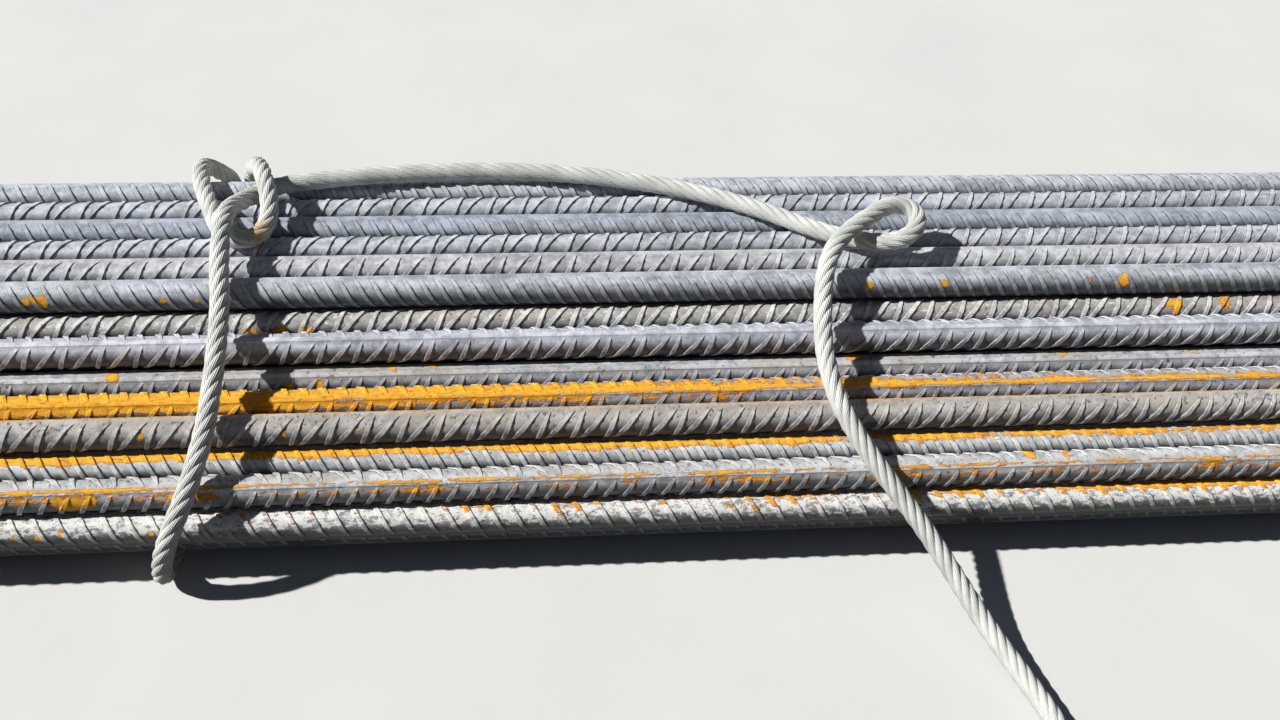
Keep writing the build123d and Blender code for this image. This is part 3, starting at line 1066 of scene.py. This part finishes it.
dusty = times_plus(tree, grime_cover, 0.34, times_plus(tree, mottle, 0.6, clouds))
dust_mask = times(tree, step_between(tree, dusty, 0.86, 1.12), 0.62)
dusted = mix_colour(tree, dust_mask, scale_colour, BROWN_DUST)
pits = speckles(tree, place, 300.0, times_plus(tree, grime_cover, 0.12, 0.37))
pitted = mix_colour(tree, times(tree, pits, 0.85), dusted, PIT_AND_SHADE_DARK)
# The feet of the ribs are darkened: partly dirt, partly painted shade.
foot_dirt_and_shade = math_node(tree, "MULTIPLY", height_cover, -1.5, clamp=True)
with_foot_dirt_and_shade = mix_colour(tree, foot_dirt_and_shade, pitted, PIT_AND_SHADE_DARK)
# Rib crests are mixed towards a pale colour: rubbed wear and a painted highlight.
rub_and_glint_pattern = times_plus(tree, mottle, 1.9, -0.62)
raised = math_node(tree, "MAXIMUM", height_cover, 0.0)
crest = math_node(tree, "MULTIPLY", raised, rub_and_glint_pattern, clamp=True)
with_rub_and_glint = mix_colour(tree, crest, with_foot_dirt_and_shade, RUBBED_AND_GLINT_PALE)
chip_place = scaled_coordinates(tree, (0.55, 1, 1))
chips = speckles(tree, chip_place, 340.0, times_plus(tree, scuff_cover, 0.34, 0.22))
scuffed = mix_colour(tree, times(tree, chips, 0.8), with_rub_and_glint, SCALE_CHIP)
rust_place = scaled_coordinates(tree, (38, 110, 110))
rust_sockets = {"Vector": rust_place, "Coverage": rust_cover, "Age": 0.22}
rust, rust_tone = use_effect(tree, rust_effect, rust_sockets)

sheen = times_plus(tree, mottle, 0.30, 0.24)
dull = math_node(tree, "MAXIMUM", times(tree, rust, 0.85), times(tree, dust_mask, 1.1))
relief = times_plus(tree, rust, 0.4, times_plus(tree, pits, -0.5, mottle))
bar_bump = {"Strength": 0.9, "Distance": 0.0006, "Height": relief}
fill(tree, shader, {
    "Base Color": mix_colour(tree, rust, scuffed, rust_tone),
    "Roughness": math_node(tree, "MAXIMUM", sheen, dull),
    "Specular IOR Level": 0.32,
    "Normal": add_node(tree, "Bump", bar_bump),
})

# %% Make the bars
bar_triangles = 0
for layer in range(len(LAYERS)):
    parts = [part for bar in bars if bar["layer"] == layer for part in bar_parts(bar)]
    made = piece(f"bars_of_layer_{layer + 1}", parts, bar_steel)
    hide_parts(f"bars_layer_{layer + 1}")
    bar_triangles += triangle_count(made)
    print(f"{made.name}: {triangle_count(made)} triangles, {bar_triangles} so far")

# %% [markdown]
# ## Wire ties
#
# A tie is one soft wire drawn round the bundle, its two ends twisted together on top and
# laid down along a bar. The loop follows the outermost bars: a straight stretch from one to
# the next, and an arc about each. The twist is two helices half a turn apart.

# %% Tie surfaces
TIE_RADIUS = 0.00275
TIE_PLACES = (-2.6, -1.3, 1.3, 2.6)
TIE_CLEARANCE = 0.0003
TWIST_LENGTH = 0.060
TWIST_RADIUS = 0.0045
TWIST_TURNS = 3.5
TWIST_BAR = 2
TWIST_POINTS = 60
ARC_POINTS = 8
WIRE_POINTS = 12
WIRE_BLACK = (0.05, 0.05, 0.055, 1.0)
WIRE_GREY = (0.17, 0.165, 0.17, 1.0)
twist_bar = [bar for bar in bars if bar["layer"] == len(LAYERS) - 1][TWIST_BAR]


def outer_bars():
    """The bars that the loop touches, in order from the top back one, as (y, z): the convex
    outline of the section, found by dropping every bar that lies inside its neighbours' line."""
    ends = []
    for layer in range(len(LAYERS)):
        row = [(bar["y"], bar["z"]) for bar in bars if bar["layer"] == layer]
        ends.append((row[0], row[-1]))
    ring = [front for front, _ in ends] + [back for _, back in reversed(ends)]
    kept = True
    while kept:
        turns = []
        for i, (by, bz) in enumerate(ring):
            (ay, az), (cy, cz) = ring[i - 1], ring[(i + 1) % len(ring)]
            turns.append((by - ay) * (cz - bz) - (bz - az) * (cy - by))
        kept = max(turns) > -1e-9
        if kept:
            ring.pop(turns.index(max(turns)))
    top = max(range(len(ring)), key=lambda i: (round(ring[i][1], 6), ring[i][0]))
    return ring[top:] + ring[:top]


def loop_line(x):
    """The wire's middle line round the bundle at x. Each arc is about a bar's middle, from the
    outward direction of the side that comes in to that of the side that goes out."""
    ring = np.array(outer_bars())
    side = np.roll(ring, -1, axis=0) - ring
    outward = np.stack([side[:, 1], -side[:, 0]], axis=1) / np.linalg.norm(side, axis=1)[:, None]
    leaving = np.arctan2(-outward[:, 1], -outward[:, 0])
    coming = np.roll(leaving, 1)
    turned = (leaving - coming + np.pi) % (2 * np.pi) - np.pi
    angle = coming[:, None] + turned[:, None] * np.linspace(0, 1, ARC_POINTS)[None, :]
    distance = BAR_DIAMETER / 2 + TIE_CLEARANCE + TIE_RADIUS
    y = (ring[:, :1] + distance * np.cos(angle)).ravel()
    z = (ring[:, 1:] + distance * np.sin(angle)).ravel()
    height = twist_bar["z"] + distance
    y = np.concatenate([[twist_bar["y"] + TIE_RADIUS], y, [twist_bar["y"] - TIE_RADIUS]])
    z = np.concatenate([[height], z, [height]]) - drop(x)
    return np.stack([np.full(len(y), x), y, z], axis=1)


def wire_rings(points, radius):
    """Rings of a plain wire along a line, in a frame that is carried along it."""
    _, side, other = carried_frame(points)
    angle = np.linspace(0, 2 * np.pi, WIRE_POINTS, endpoint=False)[None, :, None]
    circle = np.cos(angle) * side[:, None] - np.sin(angle) * other[:, None]
    return (points[:, None] + radius * circle)[None]


def twist_lines(x):
    """The two middle lines of the twist, along +X from the loop."""
    along = np.linspace(0.0, 1.0, TWIST_POINTS)
    height = twist_bar["z"] + BAR_DIAMETER / 2 + TIE_CLEARANCE + TWIST_RADIUS - drop(x)
    helix = TWIST_RADIUS / 2
    lines = []
    for start in (0.0, np.pi):
        turn = start + 2 * np.pi * TWIST_TURNS * along
        y = twist_bar["y"] + helix * np.cos(turn)
        z = height + helix * np.sin(turn)
        lines.append(np.stack([x - TWIST_RADIUS + TWIST_LENGTH * along, y, z], axis=1))
    return lines


tie_wire, tree, shader = new_material("tie_wire")
rust_sockets = {"Vector": scaled_coordinates(tree, (90, 90, 90)), "Coverage": 0.45, "Age": 0.6}
tie_rust, tie_tone = use_effect(tree, rust_effect, rust_sockets)
drawn = noise(tree, scaled_coordinates(tree), 240.0, 4.0)
blackened = mix_colour(tree, drawn, WIRE_BLACK, WIRE_GREY)
fill(tree, shader, {
    "Base Color": mix_colour(tree, tie_rust, blackened, tie_tone),
    "Metallic": 0.3,
    "Roughness": times_plus(tree, tie_rust, 0.35, 0.42),
    "Normal": add_node(tree, "Bump", {"Strength": 0.4, "Distance": 0.0003, "Height": drawn}),
})

# %% Make the ties
for number, x in enumerate(TIE_PLACES, start=1):
    parts = [(*closed_tubes(wire_rings(loop_line(x), TIE_RADIUS)), {})]
    parts += [(*closed_tubes(wire_rings(line, TWIST_RADIUS / 2)), {}) for line in twist_lines(x)]
    made = piece(f"wire_tie_{number}_wire", parts, tie_wire)
    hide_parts(f"wire_tie_{number}")
    print(f"{made.name}: {triangle_count(made)} triangles")

# %% [markdown]
# ## Floor, background and light
#
# The bundle lies on a plain pale floor. The floor and the world look pale to the camera and
# in reflections through Light Path, and give the object less light than that, so that the
# gaps between the bars stay dark. The sun stands at the left, 42 degrees over the floor and
# nearly in line with the bars: their tops are lit, their undersides are not, every rib has a
# bright left flank, and the ropes' shadows fall to the right.

# %% Floor
FLOOR_REACH = 60.0
FLOOR_PALE = (0.62, 0.62, 0.62, 1.0)
FLOOR_PALER = (0.72, 0.72, 0.71, 1.0)
FLOOR_FOR_LIGHT = (0.05, 0.05, 0.05, 1.0)


def background_seen(tree):
    """A mask for the rays that show the background: the camera's, reflected and refracted."""
    rays = tree.nodes.new("ShaderNodeLightPath").outputs
    mirrored = math_node(tree, "MAXIMUM", rays["Is Glossy Ray"], rays["Is Transmission Ray"])
    return math_node(tree, "MAXIMUM", rays["Is Camera Ray"], mirrored)


floor_mesh = bpy.data.meshes.new("floor")
floor_corners = FLOOR_REACH * np.array([(-1, -1, 0), (1, -1, 0), (1, 1, 0), (-1, 1, 0)])
floor_mesh.from_pydata(floor_corners.tolist(), [], [(0, 1, 2, 3)])
floor = bpy.data.objects.new("floor", floor_mesh)
bpy.context.scene.collection.objects.link(floor)
floor_paint, tree, shader = new_material("floor_paint")
cloudy = noise(tree, scaled_coordinates(tree, (7, 7, 7)), 1.0, 6.0)
floor_seen = mix_colour(tree, cloudy, FLOOR_PALE, FLOOR_PALER)
floor_colour = mix_colour(tree, background_seen(tree), FLOOR_FOR_LIGHT, floor_seen)
fill(tree, shader, {"Base Color": floor_colour, "Roughness": 0.9})
floor_mesh.materials.append(floor_paint)

# %% Light
SUN_WAY = Vector((1.1, 0.04, -1.0))
SUN_STRENGTH = 5.4
SUN_WIDTH = math.radians(1.5)
SUN_COLOUR = (1.0, 0.985, 0.95)
SKY_COLOUR = (0.50, 0.67, 1.0, 1.0)
SKY_STRENGTH = 0.055
BACKDROP_COLOUR = (0.90, 0.91, 0.92, 1.0)

sun_data = bpy.data.lights.new("sun", "SUN")
sun_data.energy = SUN_STRENGTH
sun_data.angle = SUN_WIDTH
sun_data.color = SUN_COLOUR
sun = bpy.data.objects.new("sun", sun_data)
sun.rotation_euler = SUN_WAY.to_track_quat("-Z", "Y").to_euler()
bpy.context.scene.collection.objects.link(sun)

world = bpy.data.worlds.new("studio")
bpy.context.scene.world = world
world.use_nodes = True
tree = world.node_tree
tree.nodes.clear()
sky = add_node(tree, "Background", {"Color": SKY_COLOUR, "Strength": SKY_STRENGTH})
backdrop = add_node(tree, "Background", {"Color": BACKDROP_COLOUR, "Strength": 1.0})
both = add_node(tree, "MixShader", {0: background_seen(tree), 1: sky, 2: backdrop})
tree.links.new(both, tree.nodes.new("ShaderNodeOutputWorld").inputs["Surface"])
bpy.context.scene.view_settings.view_transform = "Standard"
sun_height = math.degrees(math.atan2(-SUN_WAY.z, SUN_WAY.xy.length))
print(f"sun {sun_height:.1f} degrees over the floor")
